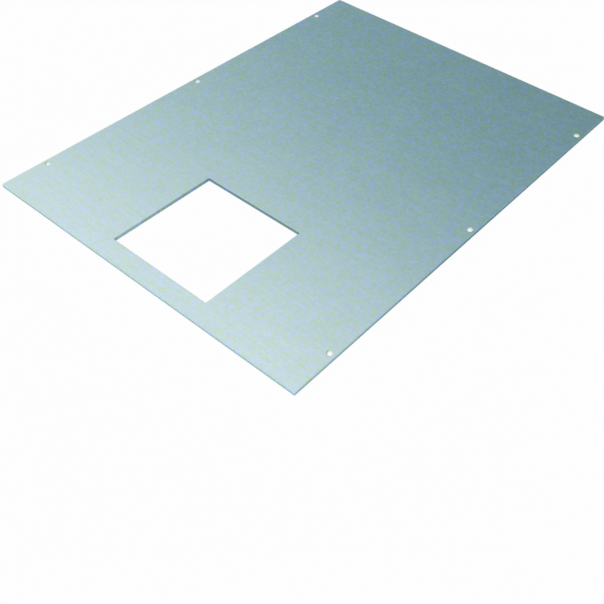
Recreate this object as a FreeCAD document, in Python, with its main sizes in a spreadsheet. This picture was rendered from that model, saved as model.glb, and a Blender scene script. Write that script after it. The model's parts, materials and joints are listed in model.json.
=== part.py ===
import FreeCAD, Part
import math
import os

import Sketcher

# Rectangular cover plate of zinc coated steel, in millimetres.
# The plate lies flat. Its underside is z = 0 and its middle is x = y = 0.
# Its long edges run along X. The square cut-out is near the -X end.
# Three countersunk holes run along each long edge, and open on the upper face.

# Driving dimensions: alias, size, what it measures
DRIVING_SIZES = (
    ("plate_length", 800.0, "between the two short edges"),
    ("plate_width", 600.0, "between the two long edges"),
    ("plate_thickness", 6.0, "of the sheet"),
    ("plate_corner_radius", 1.0, "of the four outer corners, seen from above"),
    ("cutout_length", 189.0, "of the cut-out, along the long edges"),
    ("cutout_width", 189.0, "of the cut-out, along the short edges"),
    ("cutout_from_end", 33.5, "from the -X end to the cut-out"),
    ("cutout_from_side", 191.0, "from the -Y edge to the cut-out"),
    ("cutout_corner_radius", 1.5, "left in the cut-out's corners by the cutting beam"),
    ("edge_break", 0.4, "radius left on the sharp edges by deburring"),
    ("hole_diameter", 7.0, "of the straight part of each fixing hole"),
    ("countersink_diameter", 9.8, "of the countersink at the upper face"),
    ("countersink_angle", 90.0, "of the countersink, in degrees"),
    ("hole_from_near_end", 78.0, "from the -X end to the first hole"),
    ("hole_from_far_end", 82.0, "from the +X end to the last hole"),
    ("hole_from_side", 9.3, "from a long edge to the holes' centres"),
    ("holes_along_side", 3, "holes in each row"),
)
ROWS_OF_HOLES = 2
VOLUME_TOLERANCE = 1e-6
FACE_TOLERANCE = 1e-6


def make_size_sheet(document):
    """Put every driving dimension in a spreadsheet cell that has an alias."""
    sheet = document.addObject("Spreadsheet::Sheet", "Sizes")
    for row, (alias, value, meaning) in enumerate(DRIVING_SIZES, start=1):
        sheet.set(f"A{row}", alias.replace("_", " "))
        sheet.set(f"B{row}", str(value))
        sheet.set(f"C{row}", meaning)
        sheet.setAlias(f"B{row}", alias)
    document.recompute()
    return sheet


def origin_feature(body, role):
    """Return the body's own origin plane or axis of that role."""
    for feature in body.Origin.OriginFeatures:
        if feature.Role == role:
            return feature
    raise ValueError(f"the body has no origin feature {role}")


def new_sketch(body, name, height=None):
    """Start a sketch that looks down on the plate, on its underside or at a height."""
    sketch = body.newObject("Sketcher::SketchObject", name)
    sketch.AttachmentSupport = [(origin_feature(body, "XY_Plane"), "")]
    sketch.MapMode = "FlatFace"
    if height:
        sketch.setExpression("AttachmentOffset.Base.z", height)
    return sketch


def constrain(sketch, name, expression, kind, *arguments):
    """Add a named dimension to the sketch and bind it to an expression."""
    index = sketch.addConstraint(Sketcher.Constraint(kind, *arguments))
    sketch.renameConstraint(index, name)
    sketch.setExpression(f"Constraints.{name}", expression)


def draw_rounded_rectangle(sketch, low, high, radius):
    """Draw four sides and four tangent corner arcs between two corner points.

    Returns the geometry numbers of the sides and the arcs. Sides go round from the
    bottom one, and each arc joins the side of its own place in the list to the next.
    """
    vector = FreeCAD.Vector
    corners = [vector(high[0], low[1]), vector(*high), vector(low[0], high[1]), vector(*low)]
    steps = [vector(1, 0), vector(0, 1), vector(-1, 0), vector(0, -1)]
    sides = []
    arcs = []
    for turn in range(4):
        start = corners[turn - 1] + steps[turn] * radius
        end = corners[turn] - steps[turn] * radius
        sides.append(sketch.addGeometry(Part.LineSegment(start, end), False))
    for turn in range(4):
        following = (turn + 1) % 4
        centre = corners[turn] - steps[turn] * radius + steps[following] * radius
        circle = Part.Circle(centre, vector(0, 0, 1), radius)
        first_angle = math.radians(90 * (turn - 1))
        arc = Part.ArcOfCircle(circle, first_angle, first_angle + math.radians(90))
        arcs.append(sketch.addGeometry(arc, False))
    for turn in range(4):
        following = (turn + 1) % 4
        sketch.addConstraint(Sketcher.Constraint("Tangent", sides[turn], 2, arcs[turn], 1))
        sketch.addConstraint(Sketcher.Constraint("Tangent", arcs[turn], 2, sides[following], 1))
        direction = "Horizontal" if turn % 2 == 0 else "Vertical"
        sketch.addConstraint(Sketcher.Constraint(direction, sides[turn]))
        if turn:
            sketch.addConstraint(Sketcher.Constraint("Equal", arcs[0], arcs[turn]))
    return sides, arcs


def draw_plate_outline(body, sizes):
    """Sketch the sheared outline, centred on the origin."""
    sketch = new_sketch(body, "PlateOutline")
    half = (sizes.plate_length / 2, sizes.plate_width / 2)
    radius = sizes.plate_corner_radius
    sides, arcs = draw_rounded_rectangle(sketch, (-half[0], -half[1]), half, radius)
    bottom, right, top, left = sides
    constrain(sketch, "radius", "Sizes.plate_corner_radius", "Radius", arcs[0], radius)
    constrain(sketch, "length", "Sizes.plate_length", "DistanceX", left, 1, right, 1, 2 * half[0])
    constrain(sketch, "width", "Sizes.plate_width", "DistanceY", bottom, 1, top, 1, 2 * half[1])
    sketch.addConstraint(Sketcher.Constraint("Symmetric", arcs[3], 3, arcs[1], 3, -1, 1))
    return sketch


def draw_cutout(body, sizes):
    """Sketch the square cut-out on the upper face, placed from an end and a side."""
    sketch = new_sketch(body, "CutoutOutline", "Sizes.plate_thickness")
    low_x = sizes.cutout_from_end - sizes.plate_length / 2
    low_y = sizes.cutout_from_side - sizes.plate_width / 2
    high = (low_x + sizes.cutout_length, low_y + sizes.cutout_width)
    radius = sizes.cutout_corner_radius
    sides, arcs = draw_rounded_rectangle(sketch, (low_x, low_y), high, radius)
    bottom, right, top, left = sides
    from_middle = "Sizes.plate_length / 2 - Sizes.cutout_from_end"
    from_centre_line = "Sizes.plate_width / 2 - Sizes.cutout_from_side"
    constrain(sketch, "radius", "Sizes.cutout_corner_radius", "Radius", arcs[0], radius)
    constrain(sketch, "length", "Sizes.cutout_length", "DistanceX", left, 1, right, 1, high[0] - low_x)
    constrain(sketch, "width", "Sizes.cutout_width", "DistanceY", bottom, 1, top, 1, high[1] - low_y)
    constrain(sketch, "from_middle", from_middle, "DistanceX", left, 1, -1, 1, -low_x)
    constrain(sketch, "from_centre_line", from_centre_line, "DistanceY", bottom, 1, -1, 1, -low_y)
    return sketch


def draw_first_hole(body, sizes):
    """Sketch the fixing hole of the -X -Y corner on the upper face."""
    sketch = new_sketch(body, "FirstHole", "Sizes.plate_thickness")
    x = sizes.hole_from_near_end - sizes.plate_length / 2
    y = sizes.hole_from_side - sizes.plate_width / 2
    circle = Part.Circle(FreeCAD.Vector(x, y), FreeCAD.Vector(0, 0, 1), sizes.hole_diameter / 2)
    hole = sketch.addGeometry(circle, False)
    from_middle = "Sizes.plate_length / 2 - Sizes.hole_from_near_end"
    from_centre_line = "Sizes.plate_width / 2 - Sizes.hole_from_side"
    constrain(sketch, "diameter", "Sizes.hole_diameter", "Diameter", hole, sizes.hole_diameter)
    constrain(sketch, "from_middle", from_middle, "DistanceX", hole, 3, -1, 1, -x)
    constrain(sketch, "from_centre_line", from_centre_line, "DistanceY", hole, 3, -1, 1, -y)
    return sketch


def flat_face_names(shape):
    """Name the faces that lie level: the upper face and the underside."""
    names = []
    for number, face in enumerate(shape.Faces, start=1):
        level = abs(abs(face.normalAt(0, 0).z) - 1) < FACE_TOLERANCE
        if level and isinstance(face.Surface, Part.Plane):
            names.append(f"Face{number}")
    return names


def add_sheet(body, sizes):
    """Pad the outline to the sheet's thickness."""
    pad = body.newObject("PartDesign::Pad", "Sheet")
    pad.Profile = draw_plate_outline(body, sizes)
    pad.setExpression("Length", "Sizes.plate_thickness")
    body.Document.recompute()
    return pad


def cut_opening(body, sizes):
    """Cut the square opening down through the sheet."""
    pocket = body.newObject("PartDesign::Pocket", "Cutout")
    pocket.Profile = draw_cutout(body, sizes)
    pocket.Type = "ThroughAll"
    body.Document.recompute()
    return pocket


def break_edges(body, base):
    """Round the edges of the outline and of the opening, on both faces."""
    fillet = body.newObject("PartDesign::Fillet", "BrokenEdges")
    fillet.Base = (base, flat_face_names(base.Shape))
    fillet.setExpression("Radius", "Sizes.edge_break")
    body.Document.recompute()
    return fillet


def drill_first_hole(body, sizes):
    """Drill and countersink the hole that the others are copied from."""
    hole = body.newObject("PartDesign::Hole", "CountersunkHole")
    hole.Profile = draw_first_hole(body, sizes)
    body.Document.recompute()
    hole.Threaded = False
    hole.DepthType = "ThroughAll"
    hole.setExpression("Diameter", "Sizes.hole_diameter")
    hole.HoleCutType = "Countersink"
    hole.HoleCutCustomValues = True
    hole.setExpression("HoleCutDiameter", "Sizes.countersink_diameter")
    hole.setExpression("HoleCutCountersinkAngle", "Sizes.countersink_angle")
    body.Document.recompute()
    return hole


def repeat_holes(body, hole):
    """Repeat the hole along both long edges, as a grid of equal steps."""
    grid = body.newObject("PartDesign::LinearPattern", "HoleGrid")
    grid.Originals = [hole]
    grid.Direction = (origin_feature(body, "X_Axis"), [""])
    grid.Mode = "Extent"
    reach = "Sizes.plate_length - Sizes.hole_from_near_end - Sizes.hole_from_far_end"
    grid.setExpression("Length", reach)
    grid.setExpression("Occurrences", "Sizes.holes_along_side")
    grid.Direction2 = (origin_feature(body, "Y_Axis"), [""])
    grid.Mode2 = "Extent"
    grid.setExpression("Length2", "Sizes.plate_width - 2 * Sizes.hole_from_side")
    grid.Occurrences2 = ROWS_OF_HOLES
    body.Tip = grid
    body.Document.recompute()
    return grid


def opening_volume(sizes):
    """Work out what the cut-out takes from the sheet."""
    radius = sizes.cutout_corner_radius
    area = sizes.cutout_length * sizes.cutout_width - (4 - math.pi) * radius ** 2
    return area * sizes.plate_thickness


def hole_volume(sizes):
    """Work out what one countersunk hole takes from the sheet."""
    wide = sizes.countersink_diameter
    narrow = sizes.hole_diameter
    depth = (wide - narrow) / 2 / math.tan(math.radians(sizes.countersink_angle / 2))
    cone = math.pi / 12 * depth * (wide ** 2 + wide * narrow + narrow ** 2)
    bore = math.pi / 4 * narrow ** 2 * (sizes.plate_thickness - depth)
    return cone + bore


def check_cut(name, before, after, expected):
    """Stop unless a cut took away the volume that its sizes give."""
    taken = before.Shape.Volume - after.Shape.Volume
    if abs(taken - expected) > VOLUME_TOLERANCE * before.Shape.Volume:
        raise RuntimeError(f"{name} took {taken:.2f} cubic mm and not {expected:.2f}")
    print(f"{name}: {taken:.1f} cubic mm taken")


def make_cover_plate(document, sizes):
    """Make the whole plate: sheet, opening, broken edges, then the holes."""
    body = document.addObject("PartDesign::Body", "CoverPlate")
    body.Label = "cover_plate"
    sheet = add_sheet(body, sizes)
    opening = cut_opening(body, sizes)
    check_cut("cut-out", sheet, opening, opening_volume(sizes))
    edges = break_edges(body, opening)
    grid = repeat_holes(body, drill_first_hole(body, sizes))
    hole_count = sizes.holes_along_side * ROWS_OF_HOLES
    check_cut("fixing holes", edges, grid, hole_count * hole_volume(sizes))
    body.Placement = FreeCAD.Placement()
    return body


def check_document(document, parts):
    """Stop unless every object was made and every part has one sound solid."""
    for made in document.Objects:
        if "Invalid" in made.State or "Error" in made.State:
            raise RuntimeError(f"{made.Name} could not be made")
    for part in parts:
        if part.Shape.isNull() or not part.Shape.isValid() or len(part.Shape.Solids) != 1:
            raise RuntimeError(f"{part.Label} isn't one sound solid")


def write_parts(parts):
    """Write each part under its own label."""
    os.makedirs("parts", exist_ok=True)
    for part in parts:
        part.Shape.exportStep(f"parts/{part.Label}.step")
        box = part.Shape.optimalBoundingBox(False, False)
        print(f"{part.Label}: {box.XLength:.1f} x {box.YLength:.1f} x {box.ZLength:.1f} mm,"
              f" {part.Shape.Volume:.0f} cubic mm, {len(part.Shape.Faces)} faces")


def main():
    document = FreeCAD.newDocument("CoverPlate")
    sizes = make_size_sheet(document)
    parts = [make_cover_plate(document, sizes)]
    document.recompute()
    check_document(document, parts)
    write_parts(parts)


main()
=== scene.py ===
# %% [markdown]
# # A zinc coated steel cover plate
#
# The object is one flat sheet of steel with a square cut-out near one end and six
# countersunk fixing holes along its long edges. The photograph doesn't say how it was made,
# but one likely order explains what it shows, and this lesson follows it: the sheet was
# rolled, sheared to size, cut by a beam, countersunk and then dipped in zinc.
#
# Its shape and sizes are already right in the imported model, so the mesh is never touched.
# All the work goes into the finish and into the light that shows it. The sheet could be
# modelled again with a finer mesh, but a flat plate gains nothing from that: its marks are
# about a tenth of a millimetre deep at most, and over its whole length it is out of flat by
# only a few tenths.

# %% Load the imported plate
import json
import math

import bmesh
import bpy
from mathutils import Matrix, Vector


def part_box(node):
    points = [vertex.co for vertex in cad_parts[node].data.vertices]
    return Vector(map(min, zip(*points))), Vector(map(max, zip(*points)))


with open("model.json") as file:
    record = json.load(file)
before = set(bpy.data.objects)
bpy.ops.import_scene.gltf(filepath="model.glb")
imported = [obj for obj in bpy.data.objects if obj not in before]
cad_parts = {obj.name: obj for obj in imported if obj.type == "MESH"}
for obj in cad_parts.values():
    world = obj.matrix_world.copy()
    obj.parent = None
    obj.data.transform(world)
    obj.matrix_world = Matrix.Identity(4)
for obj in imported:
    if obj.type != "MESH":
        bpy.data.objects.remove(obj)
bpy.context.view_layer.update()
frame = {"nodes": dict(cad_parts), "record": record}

plate = frame["nodes"]["cover_plate"]
low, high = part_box("cover_plate")
print("plate in millimetres:", [round(1000 * side, 1) for side in high - low])

# %% [markdown]
# The finish changes from place to place: the faces are rolled, the outer edges are sheared,
# the walls of the cut-out are cut by a beam and the countersinks are turned. To tell those
# places apart, the material needs to know where the holes are. Those distances could be
# typed in again, but the record that comes with the model already states them, so they are
# read from there and can't disagree with the holes.

# %% Read the hole pattern from the record
MILLIMETRE = 0.001
mounts = {mount["name"]: mount for mount in frame["record"]["mounts"]}
corner_holes = mounts["corner_holes"]
hole_radius = corner_holes["dims"]["hole_r_mm"] * MILLIMETRE
hole_step = corner_holes["dims"]["spacing_x_mm"] / 2 * MILLIMETRE
hole_side = corner_holes["dims"]["spacing_y_mm"] / 2 * MILLIMETRE
hole_middle = corner_holes["pos_m"][0]
print("holes every", round(hole_step, 4), "m, at", round(hole_side, 4), "m from the middle line")

# %% [markdown]
# Every texture below is built from shader nodes. Clicking them together by hand is quick for
# one node and slow for a hundred, so a helper does the clicking. It adds one node, fills in
# its inputs and gives the node back. An input may be a plain number or the output of another
# node, which is then linked.


# %% A helper that adds one node
def add(tree, kind, inputs=None, **properties):
    """Add a shader node, set its properties, then fill in or link its inputs."""
    made = tree.nodes.new("ShaderNode" + kind)
    for name, value in properties.items():
        setattr(made, name, value)
    for socket, value in (inputs or {}).items():
        if isinstance(value, bpy.types.NodeSocket):
            tree.links.new(value, made.inputs[socket])
        else:
            made.inputs[socket].default_value = value
    return made


# %% [markdown]
# Three sums come up all the time: plain arithmetic, a soft step from 0 to 1, and a blend of
# two numbers. Each gets a helper of its own that gives back the output, so that the sums
# below read like sums and not like wiring.


# %% Helpers for numbers
def maths(tree, operation, first, second=0.0):
    """Work out one sum of two values."""
    return add(tree, "Math", {0: first, 1: second}, operation=operation).outputs[0]


def fade(tree, value, start, end):
    """Go smoothly from 0 where the value is start to 1 where it is end."""
    inputs = {"Value": value, "From Min": start, "From Max": end}
    return add(tree, "MapRange", inputs, interpolation_type="SMOOTHSTEP").outputs[0]


def between(tree, factor, first, second):
    """Blend two numbers."""
    return add(tree, "Mix", {0: factor, 2: first, 3: second}).outputs[0]


# %% [markdown]
# Some effects are needed in several places with different sizes. A node group is built once
# and placed as often as needed, with its own values each time. Copying its nodes would also
# work, but then every change would have to be made in every copy.


# %% A helper that starts a node group
def start_group(name, inputs, outputs):
    """Make an empty shader node group and return it with its two ends."""
    group = bpy.data.node_groups.new(name, "ShaderNodeTree")
    for label, kind, value in inputs:
        socket = group.interface.new_socket(label, in_out="INPUT", socket_type="NodeSocket" + kind)
        if value is not None:
            socket.default_value = value
    for label in outputs:
        group.interface.new_socket(label, in_out="OUTPUT", socket_type="NodeSocketFloat")
    start = group.nodes.new("NodeGroupInput").outputs
    end = group.nodes.new("NodeGroupOutput").inputs
    return group, start, end


# %% [markdown]
# Rolling leaves lines on the faces, the cutting beam leaves lines down the walls of the
# cut-out, and the countersink leaves rings in the holes. They could be three textures, but
# they are all the same thing: noise that is squeezed in one direction. So one group makes
# such lines, and each finish places it with its own width and length.


# %% A node group for drawn lines
GROOVE = 0.3
RIDGE = 0.7


def make_drawn_lines():
    """Lines that run along the second axis of the place, from 0 in a groove to 1 on a ridge."""
    sizes = (("Place", "Vector", None), ("Width", "Float", 0.003), ("Length", "Float", 0.2))
    group, start, end = start_group("drawn lines", sizes, ("Lines",))
    squeeze = {"X": start["Width"], "Y": start["Length"], "Z": start["Length"]}
    squeeze = add(group, "CombineXYZ", squeeze).outputs[0]
    place = add(group, "VectorMath", {0: start["Place"], 1: squeeze}, operation="DIVIDE").outputs[0]
    noise = {"Vector": place, "Scale": 1.0, "Detail": 3.0, "Roughness": 0.6}
    noise = add(group, "TexNoise", noise).outputs[0]
    group.links.new(fade(group, noise, GROOVE, RIDGE), end["Lines"])
    return group


drawn_lines = make_drawn_lines()
print("group:", drawn_lines.name, "with", len(drawn_lines.nodes), "nodes")

# %% [markdown]
# Molten zinc freezes in crystals, a few millimetres across. Each one reflects a little more
# or less light and leans a little to blue or to green, which gives the sheet its soft mottle.
# Plain noise would look like clouds. Voronoi cells are nearer to the truth, because each cell
# has one value of its own. Smooth edges between the cells, and a second noise that bends
# them, keep the pattern from looking like tiles.


# %% A node group for zinc crystals
def make_zinc_crystals():
    """Two random values per crystal, both from 0 to 1: how bright it is and how blue it is."""
    sizes = (("Place", "Vector", None), ("Size", "Float", 0.004), ("Bend", "Float", 0.6))
    group, start, end = start_group("zinc crystals", sizes, ("Shade", "Blue"))
    scale = maths(group, "DIVIDE", 1.0, start["Size"])
    place = add(group, "VectorMath", {0: start["Place"], "Scale": scale}, operation="SCALE").outputs[0]
    noise = add(group, "TexNoise", {"Vector": place, "Scale": 0.7, "Detail": 1.0}).outputs["Color"]
    bend = add(group, "VectorMath", {0: noise, "Scale": start["Bend"]}, operation="SCALE").outputs[0]
    bent = add(group, "VectorMath", {0: place, 1: bend}, operation="ADD").outputs[0]
    cells = {"Vector": bent, "Scale": 1.0, "Smoothness": 0.6}
    cells = add(group, "TexVoronoi", cells, feature="SMOOTH_F1").outputs["Color"]
    values = add(group, "SeparateColor", {0: cells}).outputs
    group.links.new(values[0], end["Shade"])
    group.links.new(values[1], end["Blue"])
    return group


zinc_crystals = make_zinc_crystals()
print("group:", zinc_crystals.name, "with", len(zinc_crystals.nodes), "nodes")

# %% [markdown]
# A placed group is one more node whose group has to be named, and whose sizes are in metres
# like everything else here. Two short helpers hide that, so that a finish below says only
# how wide its lines or how large its crystals are.


# %% Helpers that place a group in a material
def place_lines(tree, place, width, length):
    """Place the drawn lines with their own width and length, in metres."""
    inputs = {"Place": place, "Width": width, "Length": length}
    return add(tree, "Group", inputs, node_tree=drawn_lines).outputs["Lines"]


def place_crystals(tree, place, size, bend):
    """Place the zinc crystals with their own size, in metres."""
    inputs = {"Place": place, "Size": size, "Bend": bend}
    return add(tree, "Group", inputs, node_tree=zinc_crystals).outputs


# %% [markdown]
# The plate is one solid with one material, so the material itself has to find out where it
# is. It reads two things: the place on the plate, in metres from the plate's own origin, and
# the direction that the surface faces. Painted masks or separate materials would also do,
# but what is worked out from these two follows the shape by itself and needs no map.

# %% Start the material and read the place and the normal
steel = bpy.data.materials.new("zinc_steel")
steel.use_nodes = True
tree = steel.node_tree
shader = tree.nodes["Principled BSDF"]

coordinates = add(tree, "TexCoord").outputs
place = coordinates["Object"]
x, y, z = add(tree, "SeparateXYZ", {0: place}).outputs
facing = add(tree, "SeparateXYZ", {0: coordinates["Normal"]}).outputs
thickness = high.z - low.z
print("thickness read from the plate:", round(thickness / MILLIMETRE, 2), "mm")

# %% [markdown]
# The slope tells the kinds of surface apart. Where the normal points straight up or down
# the surface is a face, where it lies level the surface is a cut wall, and in between it is
# a broken edge or a countersink. The values below are the upright part of the normal, which
# is 1 on a face and 0 on a wall. Hard limits would draw jagged lines, so each one is a fade.

# %% Tell faces, walls and broken edges apart
FLAT = 0.99
LEANING = 0.9
WALL_BEGINS = 0.8
WALL_WHOLE = 0.4
ROUNDING_BEGINS = 0.3
ROUNDING_WHOLE = 0.7

level = maths(tree, "ABSOLUTE", facing["Z"])
wall = fade(tree, level, WALL_BEGINS, WALL_WHOLE)
not_flat = fade(tree, level, FLAT, LEANING)
rounding = maths(tree, "MULTIPLY", fade(tree, level, ROUNDING_BEGINS, ROUNDING_WHOLE), not_flat)
print("a wall begins at a slope of", round(math.degrees(math.acos(WALL_BEGINS))), "degrees")

# %% [markdown]
# The outer edges were sheared and the walls of the cut-out were burnt, and both are walls to
# the mask above. Only the outer ones lie at the very border of the plate, so the distance
# from its middle, along it or across it, tells them apart.

# %% Tell the outer edges from the walls of the cut-out
EDGE_REACH = 0.002
past_end = maths(tree, "GREATER_THAN", maths(tree, "ABSOLUTE", x), high.x - EDGE_REACH)
past_side = maths(tree, "GREATER_THAN", maths(tree, "ABSOLUTE", y), high.y - EDGE_REACH)
outside = maths(tree, "MAXIMUM", past_end, past_side)
print("outer edge starts", EDGE_REACH / MILLIMETRE, "mm inside the border")

# %% [markdown]
# The six holes are the same, so there is no need for six masks. Folding the place makes them
# one: the distance along the plate is wrapped at every hole, and the distance across it is
# mirrored about the middle line. What is left is the way from the nearest hole's centre,
# which gives both the radius and the angle for the turning marks.

# %% Fold the place round the nearest hole
HOLE_REACH = 1.8 * hole_radius
along = maths(tree, "SUBTRACT", x, hole_middle - hole_step / 2)
along = maths(tree, "SUBTRACT", maths(tree, "FLOORED_MODULO", along, hole_step), hole_step / 2)
across = maths(tree, "SUBTRACT", maths(tree, "ABSOLUTE", y), hole_side)
squares = maths(tree, "ADD", maths(tree, "POWER", along, 2.0), maths(tree, "POWER", across, 2.0))
radius = maths(tree, "SQRT", squares)
angle = maths(tree, "ARCTAN2", across, along)
turned = maths(tree, "MULTIPLY", maths(tree, "LESS_THAN", radius, HOLE_REACH), not_flat)
print("each hole's mask reaches", round(HOLE_REACH / MILLIMETRE, 1), "mm from its centre")

# %% [markdown]
# The colours come next, and they need sums of their own. Multiplying by a number makes a
# colour darker or brighter, multiplying by a tint shifts its hue, and blending goes from one
# finish to another.


# %% Helpers for colours
def scaled(tree, colour, factor):
    """Make a colour brighter or darker by a factor."""
    return add(tree, "VectorMath", {0: colour, "Scale": factor}, operation="SCALE").outputs[0]


def tinted(tree, colour, tint):
    """Multiply two colours."""
    return add(tree, "VectorMath", {0: colour, 1: tint}, operation="MULTIPLY").outputs[0]


def colour_between(tree, factor, first, second):
    """Blend two colours."""
    return add(tree, "Mix", {0: factor, 6: first, 7: second}, data_type="RGBA").outputs[2]


# %% [markdown]
# Natural metal never varies by much, so the textures only swing a value about its middle by
# a few percent. Adding them straight to a colour would be simpler, but then the average tone
# would move with every change of strength. A swing about 1 keeps the average where it is.


# %% Helpers that swing a value about its middle
def stretched(tree, value, strength):
    """Stretch a value from 0 to 1 away from its middle."""
    away = maths(tree, "MULTIPLY", maths(tree, "SUBTRACT", value, 0.5), strength)
    return maths(tree, "ADD", away, 0.5)


def sway(tree, value, amount):
    """Turn a value from 0 to 1 into a factor that swings about 1 by that amount."""
    spread = {"Value": value, "To Min": 1 - amount, "To Max": 1 + amount}
    return add(tree, "MapRange", spread).outputs[0]


# %% [markdown]
# The faces are nearly all that anyone sees, so their pattern comes first. The zinc froze in
# large and small crystals side by side. Near the end with the cut-out half of them are
# small. Towards the far end nearly all are large and their colours differ more, as if that
# end had cooled more slowly. Faint streaks and hairlines run across the plate, parallel to
# its short edges, the way it was rolled. One size of crystal would look printed.

# %% Pattern of the zinc faces
LARGE_CRYSTAL = 0.0042
SMALL_CRYSTAL = 0.0021
CRYSTAL_BEND = 0.6
SMALL_SHARE_NEAR = 0.5
SMALL_SHARE_FAR = 0.1
STREAK = (0.0035, 0.16)
HAIRLINE = (0.0006, 0.05)
CLOUDS_PER_METRE = 14.0

along_plate = fade(tree, x, low.x, high.x)
small_share = between(tree, along_plate, SMALL_SHARE_NEAR, SMALL_SHARE_FAR)
large_crystals = place_crystals(tree, place, LARGE_CRYSTAL, CRYSTAL_BEND)
small_crystals = place_crystals(tree, place, SMALL_CRYSTAL, CRYSTAL_BEND)
shade = between(tree, small_share, large_crystals["Shade"], small_crystals["Shade"])
blue = between(tree, small_share, large_crystals["Blue"], small_crystals["Blue"])
streaks = place_lines(tree, place, *STREAK)
hairlines = place_lines(tree, place, *HAIRLINE)
clouds = add(tree, "TexNoise", {"Vector": place, "Scale": CLOUDS_PER_METRE, "Detail": 2.0}).outputs[0]
print("crystals along the plate:", round(2 * high.x / LARGE_CRYSTAL), "large ones")

# %% [markdown]
# After the dip the zinc was passivated, which leaves a cool satin grey with a green to blue
# shift from crystal to crystal. A flat grey would give the right overall tone and look like
# plastic. So the grey is multiplied by a tint that goes from greenish to bluish, and by a
# brightness in which crystals, streaks, hairlines and clouds each have a small part.

# %% Colour of the zinc faces
ZINC = (0.62, 0.79, 0.82)
GREENISH = (0.985, 1.015, 0.79, 1)
BLUISH = (1.015, 0.98, 1.26, 1)
TINT_STRETCH_NEAR = 1.6
TINT_STRETCH_FAR = 2.35
SHADE_STRETCH_NEAR = 0.8
SHADE_STRETCH_FAR = 2.3
CRYSTAL_SWAY = 0.045
STREAK_SWAY = 0.02
HAIRLINE_SWAY = 0.015
CLOUD_SWAY = 0.02


def zinc_tint(tree, value):
    """Turn a value from 0 to 1 into a tint from greenish to bluish."""
    return colour_between(tree, value, GREENISH, BLUISH)


tint_stretch = between(tree, along_plate, TINT_STRETCH_NEAR, TINT_STRETCH_FAR)
tint = zinc_tint(tree, stretched(tree, blue, tint_stretch))
shade_stretch = between(tree, along_plate, SHADE_STRETCH_NEAR, SHADE_STRETCH_FAR)
brightness = sway(tree, stretched(tree, shade, shade_stretch), CRYSTAL_SWAY)
for mark, amount in ((streaks, STREAK_SWAY), (hairlines, HAIRLINE_SWAY), (clouds, CLOUD_SWAY)):
    brightness = maths(tree, "MULTIPLY", brightness, sway(tree, mark, amount))
face_colour = scaled(tree, tinted(tree, tint, ZINC), brightness)
print("crystals change the brightness by up to", CRYSTAL_SWAY, "streaks by", STREAK_SWAY)

# %% [markdown]
# The outer edges were cut by blades, and the coat is thin enough to show it. A blade slides
# down the first third of the thickness and leaves it smooth, then the rest breaks away
# rough. The short ends are painted lighter than the long sides, and the long sides are painted
# darker away from the end with the cut-out: painted shade, the fall of the light put into the
# colour. The crystals tint the edges too, a little more strongly than the faces. A map painted
# by hand could show the two bands, but they follow simply from the height, and the border
# between them from a noise.

# %% Colour of the sheared edges, with painted shade
SHEARED_END = (0.55, 0.74, 0.79, 1)
SHEARED_SIDE_NEAR = (0.52, 0.73, 0.78, 1)
SHEARED_SIDE_FAR_SHADED = (0.18, 0.35, 0.42, 1)
SIDE_SHADE_BEGINS = 1.4 * low.x
SIDE_SHADE_WHOLE = 0.1 * high.x
BREAK_LOWEST = 0.5 * thickness
BREAK_HIGHEST = 0.8 * thickness
BREAK_SOFTNESS = 0.0002
RIPPLES_PER_METRE = 90.0
BROKEN_SHADE = 0.9
SMOOTH_SHADE = 1.12
EDGE_TINT_GAIN = 1.4
TURNS_TO_END = 0.5
FACES_END = 0.8

# Painted shade: the long sides are painted darker away from the cut-out end, and the ends lighter than the
# sides.
faces_end = fade(tree, maths(tree, "ABSOLUTE", facing["X"]), TURNS_TO_END, FACES_END)
side_shade = fade(tree, x, SIDE_SHADE_BEGINS, SIDE_SHADE_WHOLE)
blade_colour = colour_between(tree, side_shade, SHEARED_SIDE_NEAR, SHEARED_SIDE_FAR_SHADED)
blade_colour = colour_between(tree, faces_end, blade_colour, SHEARED_END)
ripple = add(tree, "TexNoise", {"Vector": place, "Scale": RIPPLES_PER_METRE, "Detail": 3.0}).outputs[0]
break_height = {"Value": ripple, "To Min": BREAK_LOWEST, "To Max": BREAK_HIGHEST}
break_height = add(tree, "MapRange", break_height).outputs[0]
smooth_band = fade(tree, maths(tree, "SUBTRACT", z, break_height), -BREAK_SOFTNESS, BREAK_SOFTNESS)
shear_colour = scaled(tree, blade_colour, between(tree, smooth_band, BROKEN_SHADE, SMOOTH_SHADE))
edge_stretch = maths(tree, "MULTIPLY", tint_stretch, EDGE_TINT_GAIN)
shear_colour = tinted(tree, shear_colour, zinc_tint(tree, stretched(tree, blue, edge_stretch)))
print("the edge breaks between", round(1000 * BREAK_LOWEST, 1), "and", round(1000 * BREAK_HIGHEST, 1), "mm")

# %% [markdown]
# The cut-out was made with a cutting beam. Its walls are darker than the outer edges, partly
# the beam's own finish and partly painted shade inside the cut-out. The walls along the plate
# are painted darker away from the near end, and the walls across it darkest: painted shade,
# the fall of the light put into the colour. The beam also leaves fine lines down the wall,
# which lag behind towards the bottom. The lag grows with the square of the depth, so shifting
# the way along the wall by it bends the drawn lines as the beam did. Straight lines would be
# simpler and look like a file's.

# %% Colour of the beam-cut walls, with painted shade
BEAM_CUT_SIDE_NEAR = (0.44, 0.63, 0.72, 1)
BEAM_CUT_SIDE_FAR_SHADED = (0.335, 0.49, 0.59, 1)
BEAM_CUT_END_SHADED = (0.27, 0.43, 0.535, 1)
WALL_SHADE_BEGINS = low.x
WALL_SHADE_WHOLE = 0.4 * low.x
BEAM_LAG = 40.0
BEAM_LINE = (0.0005, 0.01)
BEAM_SWAY = 0.2

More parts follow.
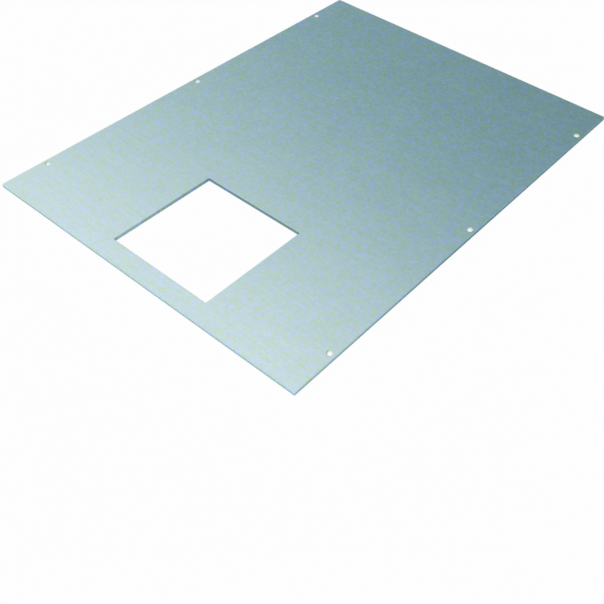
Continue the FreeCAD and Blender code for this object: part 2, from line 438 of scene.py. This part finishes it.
depth = maths(tree, "SUBTRACT", high.z, z)
lag = maths(tree, "MULTIPLY", maths(tree, "POWER", depth, 2.0), BEAM_LAG)
way_round = maths(tree, "ADD", x, y)
down_wall = add(tree, "CombineXYZ", {"X": maths(tree, "ADD", way_round, lag), "Y": z}).outputs[0]
beam_lines = place_lines(tree, down_wall, *BEAM_LINE)
# Painted shade: the cut-out walls are painted darker than the outer edges, darker still away from the near
# end, and darkest across the plate.
wall_shade = fade(tree, x, WALL_SHADE_BEGINS, WALL_SHADE_WHOLE)
beam_colour = colour_between(tree, wall_shade, BEAM_CUT_SIDE_NEAR, BEAM_CUT_SIDE_FAR_SHADED)
beam_colour = colour_between(tree, faces_end, beam_colour, BEAM_CUT_END_SHADED)
beam_colour = scaled(tree, beam_colour, sway(tree, beam_lines, BEAM_SWAY))
print("the beam lags", round(1000 * BEAM_LAG * thickness ** 2, 2), "mm at the underside")

# %% [markdown]
# On these walls the tint swings further between green and blue than on the faces, in patches
# about a centimetre long. The heat of the beam can do that, because zinc takes differently
# on steel that was heated. A new noise could make the patches, but the crystals with a
# larger size do it as well. The small crystals keep a part in it, so that the patches have
# no clean borders.

# %% Tint of the beam-cut walls
HEAT_PATCH = 0.009
HEAT_SHARE = 0.6
HEAT_STRETCH = 3.8

patch = place_crystals(tree, place, HEAT_PATCH, CRYSTAL_BEND)["Blue"]
patch = stretched(tree, between(tree, HEAT_SHARE, blue, patch), HEAT_STRETCH)
beam_colour = tinted(tree, beam_colour, zinc_tint(tree, patch))
wall_colour = colour_between(tree, outside, beam_colour, shear_colour)
print("heat patches of about", HEAT_PATCH / MILLIMETRE, "mm")

# %% [markdown]
# The holes were drilled and countersunk before the dip. The wide cones kept a pale skin of
# zinc over the tool's rings, and the bores were cleared afterwards, so they are bare bright
# steel. The rings are the drawn lines again, this time laid out by radius and angle, so that
# they close into circles. The slope tells the cone from the bore.

# %% Colour of the turned holes
BARE_STEEL = (0.93, 0.94, 0.94, 1)
COATED_CONE = (0.80, 0.92, 0.86)
CONE_ENDS = 0.5
BORE_WHOLE = 0.2
RING = (0.00025, 0.02)
RING_SWAY = 0.08

bore = fade(tree, level, CONE_ENDS, BORE_WHOLE)
round_hole = maths(tree, "MULTIPLY", angle, hole_radius)
ring_place = add(tree, "CombineXYZ", {"X": maths(tree, "SUBTRACT", radius, z), "Y": round_hole}).outputs[0]
rings = place_lines(tree, ring_place, *RING)
turned_colour = colour_between(tree, bore, tinted(tree, tint, COATED_CONE), BARE_STEEL)
turned_colour = scaled(tree, turned_colour, sway(tree, rings, RING_SWAY))
print("turning rings are", RING[0] / MILLIMETRE, "mm apart")

# %% [markdown]
# Deburring breaks the sharp edges, and handling rubs the outer ones a little brighter than
# the faces, unevenly. The rounding mask finds the broken edges, and a noise takes patches
# out of it. Then every finish has its colour and its mask, and the blends stack them: walls
# over faces, holes over walls, rubbed edges over all.

# %% Put the colours together, with the rubbed edges on top
RUBBED_ZINC = (0.68, 0.82, 0.86, 1)
RUBS_PER_METRE = 60.0
RUB_BEGINS = 0.35
RUB_WHOLE = 0.6

rubs = add(tree, "TexNoise", {"Vector": place, "Scale": RUBS_PER_METRE, "Detail": 3.0}).outputs[0]
rubbed = maths(tree, "MULTIPLY", rounding, fade(tree, rubs, RUB_BEGINS, RUB_WHOLE))
rubbed = maths(tree, "MULTIPLY", rubbed, outside)
colour = colour_between(tree, wall, face_colour, wall_colour)
colour = colour_between(tree, turned, colour, turned_colour)
colour = colour_between(tree, rubbed, colour, RUBBED_ZINC)
tree.links.new(colour, shader.inputs["Base Color"])
print("colour done with", len(tree.nodes), "nodes")

# %% [markdown]
# Roughness decides how sharp the studio shows in the steel. The faces are satin, and the
# hairlines and a few faint smudges from handling vary them a little. The cut walls and the
# cones are duller, and the bores and the rubbed edges are the sharpest. One value for all
# would make the cut marks look painted on. Metal is metal everywhere, so Metallic stays 1.

# %% Roughness of each finish
FACE_ROUGHNESS = 0.32
RUBBED_ROUGHNESS = 0.28
BROKEN_ROUGHNESS = 0.75
SMOOTH_ROUGHNESS = 0.6
BEAM_ROUGHNESS = 0.75
CONE_ROUGHNESS = 0.6
BORE_ROUGHNESS = 0.3
SMUDGES_PER_METRE = 9.0
SMUDGE_SWAY = 0.08
GRAIN_SWAY = 0.06

smudges = {"Vector": place, "Scale": SMUDGES_PER_METRE, "Detail": 4.0, "Roughness": 0.6}
smudges = sway(tree, add(tree, "TexNoise", smudges).outputs[0], SMUDGE_SWAY)
face_roughness = maths(tree, "MULTIPLY", smudges, sway(tree, hairlines, GRAIN_SWAY))
face_roughness = maths(tree, "MULTIPLY", face_roughness, FACE_ROUGHNESS)
shear_roughness = between(tree, smooth_band, BROKEN_ROUGHNESS, SMOOTH_ROUGHNESS)
wall_roughness = between(tree, outside, BEAM_ROUGHNESS, shear_roughness)
roughness = between(tree, wall, face_roughness, wall_roughness)
roughness = between(tree, turned, roughness, between(tree, bore, CONE_ROUGHNESS, BORE_ROUGHNESS))
roughness = between(tree, rubbed, roughness, RUBBED_ROUGHNESS)
tree.links.new(roughness, shader.inputs["Roughness"])
shader.inputs["Metallic"].default_value = 1.0
print("roughness from", RUBBED_ROUGHNESS, "on rubbed edges to", BROKEN_ROUGHNESS, "on the broken band")

# %% [markdown]
# The relief is too shallow for geometry: lines and crystals a few thousandths of a
# millimetre high on the faces, up to about a tenth on the walls, and slow waves of a few
# tenths, because a sheet is never quite flat. One Bump node takes all of it. Its distance is
# 1, so that every height below is a real height in metres, and the masks weigh the relief
# of each finish as they weigh its colour.

# %% Relief in metres
WAVE_HEIGHT = 0.0003
WAVES_PER_METRE = 3.5
STREAK_HEIGHT = 0.000006
HAIRLINE_HEIGHT = 0.000002
CRYSTAL_HEIGHT = 0.000004
BEAM_LINE_HEIGHT = 0.00004
BROKEN_HEIGHT = 0.00012
BROKEN_PER_METRE = 1500.0
SMOOTH_HEIGHT = 0.0001
RING_HEIGHT = 0.00001

waves = add(tree, "TexNoise", {"Vector": place, "Scale": WAVES_PER_METRE, "Detail": 1.0}).outputs[0]
face_height = maths(tree, "MULTIPLY", waves, WAVE_HEIGHT)
for mark, tallest in ((streaks, STREAK_HEIGHT), (hairlines, HAIRLINE_HEIGHT), (shade, CRYSTAL_HEIGHT)):
    face_height = maths(tree, "ADD", face_height, maths(tree, "MULTIPLY", mark, tallest))
broken = add(tree, "TexNoise", {"Vector": place, "Scale": BROKEN_PER_METRE, "Detail": 3.0}).outputs[0]
broken_height = maths(tree, "MULTIPLY", broken, BROKEN_HEIGHT)
shear_height = between(tree, smooth_band, broken_height, SMOOTH_HEIGHT)
beam_height = maths(tree, "MULTIPLY", beam_lines, BEAM_LINE_HEIGHT)
height = between(tree, wall, face_height, between(tree, outside, beam_height, shear_height))
height = between(tree, turned, height, maths(tree, "MULTIPLY", rings, RING_HEIGHT))
bump = add(tree, "Bump", {"Strength": 1.0, "Distance": 1.0, "Height": height}).outputs[0]
tree.links.new(bump, shader.inputs["Normal"])
print("highest relief on the faces:", 1000 * WAVE_HEIGHT, "mm")

# %% [markdown]
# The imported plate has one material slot, and the record calls it zinc_steel. The new
# material simply takes that slot's place. The mesh stays as it is, and so does its place.

# %% Give the plate its material
plate.data.materials[0] = steel
print("material:", steel.name, "with", len(tree.nodes), "nodes")

# %% [markdown]
# The plate lies on a white studio table whose border curves up into a low wall, so that no
# view from above shows an edge. A plain plane would do for one view only. The table is a
# line, turned about the vertical axis: flat at first, then nearly a quarter of a circle. Its
# normals have to point up, because the paint below tells the two sides apart.

# %% The studio table
TABLE_RADIUS = 3.6
SWEEP_RADIUS = 1.6
SWEEP_ANGLE = math.radians(80)
BELOW_PLATE = 0.0002
AROUND = 72
UP_SWEEP = 12
MERGE_DISTANCE = 0.0001


def make_table():
    """Turn a floor line with a rising end about the vertical axis."""
    mesh = bpy.data.meshes.new("studio_table")
    work = bmesh.new()
    profile = [work.verts.new((0, 0, -BELOW_PLATE))]
    for step in range(UP_SWEEP + 1):
        turn = SWEEP_ANGLE * step / UP_SWEEP
        reach = TABLE_RADIUS + SWEEP_RADIUS * math.sin(turn)
        profile.append(work.verts.new((reach, 0, SWEEP_RADIUS * (1 - math.cos(turn)) - BELOW_PLATE)))
    for first, second in zip(profile, profile[1:]):
        work.edges.new((first, second))
    line = work.verts[:] + work.edges[:]
    bmesh.ops.spin(work, geom=line, axis=(0, 0, 1), cent=(0, 0, 0), angle=math.tau, steps=AROUND)
    bmesh.ops.remove_doubles(work, verts=work.verts, dist=MERGE_DISTANCE)
    bmesh.ops.recalc_face_normals(work, faces=work.faces)
    if sum(face.normal.z for face in work.faces) < 0:
        bmesh.ops.reverse_faces(work, faces=work.faces)
    for face in work.faces:
        face.smooth = True
    work.to_mesh(mesh)
    work.free()
    table = bpy.data.objects.new("studio_table", mesh)
    bpy.context.collection.objects.link(table)
    return table


table = make_table()
print("table faces:", len(table.data.polygons))

# %% [markdown]
# To the camera and to the metal the table is mostly its own white, so it is even from border
# to border, and the rest is plain diffuse paint, which keeps the plate's soft shadow. More
# light would whiten it too, but that light would also fall on the plate. From below the
# paint is clear, so that the plate's underside can be looked at.

# %% White paint for the table
TABLE_PAINT = (0.9, 0.9, 0.9, 1)
OWN_WHITE = 0.96

paint = bpy.data.materials.new("table_paint")
paint.use_nodes = True
paint_tree = paint.node_tree
paint_tree.nodes.clear()
path = add(paint_tree, "LightPath").outputs
seen = maths(paint_tree, "MAXIMUM", path["Is Camera Ray"], path["Is Glossy Ray"])
seen = maths(paint_tree, "MAXIMUM", seen, path["Is Transmission Ray"])
own_white = maths(paint_tree, "MULTIPLY", seen, OWN_WHITE)
diffuse = add(paint_tree, "BsdfDiffuse", {"Color": TABLE_PAINT}).outputs[0]
white = add(paint_tree, "Emission", {"Strength": 1.0}).outputs[0]
painted = add(paint_tree, "MixShader", {0: own_white, 1: diffuse, 2: white}).outputs[0]
clear = add(paint_tree, "BsdfTransparent").outputs[0]
from_below = add(paint_tree, "NewGeometry").outputs["Backfacing"]
one_sided = add(paint_tree, "MixShader", {0: from_below, 1: painted, 2: clear}).outputs[0]
add(paint_tree, "OutputMaterial", {"Surface": one_sided})
table.data.materials.append(paint)
print("table paint with", len(paint_tree.nodes), "nodes")

# %% [markdown]
# A flat sheet of metal shows nothing of its own: it shows the room. In the photograph the
# end with the cut-out is bright and the tone falls smoothly towards the far end, as under a
# large soft light that hangs over one side of a dimmer, slightly blue room. An area lamp
# would do that too, but its rim would show in the satin face. A sky that changes smoothly
# with the angle from one direction gives the same fall of light with no rim.
#
# Each stop below is the cosine of that angle, from 0 at a right angle to 1 in the middle of
# the light, with the colour of the room there. The first seven colours and the direction of
# the light aren't a designer's choice: a separate program fitted them by least squares to the
# tones of the plate in the photograph, and they were rounded afterwards. The places of the
# stops and the last colour were chosen apart from the fit. The middle is dimmer than the zone
# round it, as under a round reflector, so that a view from above doesn't bleach the plate. A
# ramp is kept within 1, so its colours are divided by the strength that multiplies them again.

# %% Soft studio light
LIGHT_FROM = Vector((-0.49, 0.26, 0.83)).normalized()
SKY_STOPS = (
    (0.00, (0.13, 0.20, 0.24)),
    (0.14, (0.10, 0.22, 0.26)),
    (0.27, (0.16, 0.33, 0.39)),
    (0.39, (0.53, 0.64, 0.65)),
    (0.52, (1.05, 0.98, 0.95)),
    (0.65, (1.30, 1.20, 1.16)),
    (0.75, (1.30, 1.30, 1.30)),
    (0.88, (0.62, 0.62, 0.62)),
)
SKY_STRENGTH = 1.3

sky = bpy.data.worlds.new("studio_light")
sky.use_nodes = True
bpy.context.scene.world = sky
sky_tree = sky.node_tree
look = add(sky_tree, "TexCoord").outputs["Generated"]
towards = add(sky_tree, "VectorMath", {0: look, 1: LIGHT_FROM}, operation="DOT_PRODUCT").outputs["Value"]
ramp = add(sky_tree, "ValToRGB", {"Fac": towards})
while len(ramp.color_ramp.elements) < len(SKY_STOPS):
    ramp.color_ramp.elements.new(0.5)
for element, (position, room_colour) in zip(ramp.color_ramp.elements, SKY_STOPS):
    element.position = position
    element.color = [channel / SKY_STRENGTH for channel in room_colour] + [1.0]
background = sky_tree.nodes["Background"]
sky_tree.links.new(ramp.outputs[0], background.inputs["Color"])
background.inputs["Strength"].default_value = SKY_STRENGTH
print("the light stands", round(math.degrees(math.asin(LIGHT_FROM.z))), "degrees above the table")

# %% [markdown]
# The camera stands where the photographer's did. Its place, its two angles, its roll and its
# focal length come from a separate program too, which fitted the plate's edges and holes to
# the photograph. They could be found by eye, but a degree of error already moves a corner by
# several pixels. The focal length is given in pixels of a picture 604 pixels wide, because
# that is how it was measured, and the small shift is there because the photograph was
# cropped off centre.

# %% The camera
PICTURE_SIZE = 604
FOCAL_PIXELS = 865.1
MIDDLE_PIXEL = 338.3
SENSOR_WIDTH = 36.0
CAMERA_PLACE = (-0.8814, -0.7372, 0.8578)
LOOK_DOWN = math.radians(46.57)
LOOK_ROUND = math.radians(38.0)
ROLL = math.radians(2.9)

lens = bpy.data.cameras.new("camera")
lens.sensor_width = SENSOR_WIDTH
lens.lens = FOCAL_PIXELS / PICTURE_SIZE * SENSOR_WIDTH
lens.shift_x = (PICTURE_SIZE / 2 - MIDDLE_PIXEL) / PICTURE_SIZE
camera = bpy.data.objects.new("camera", lens)
bpy.context.collection.objects.link(camera)

flat = Vector((math.cos(LOOK_ROUND), math.sin(LOOK_ROUND), 0))
forward = flat * math.cos(LOOK_DOWN) - Vector((0, 0, math.sin(LOOK_DOWN)))
level_right = forward.cross(Vector((0, 0, 1))).normalized()
level_up = level_right.cross(forward)
right = level_right * math.cos(ROLL) + level_up * math.sin(ROLL)
up = right.cross(forward)
camera.matrix_world = Matrix((right, up, -forward)).transposed().to_4x4()
camera.location = CAMERA_PLACE
bpy.context.scene.camera = camera
bpy.context.scene.view_settings.view_transform = "Standard"
print("lens:", round(lens.lens, 2), "mm, shift:", round(lens.shift_x, 4))
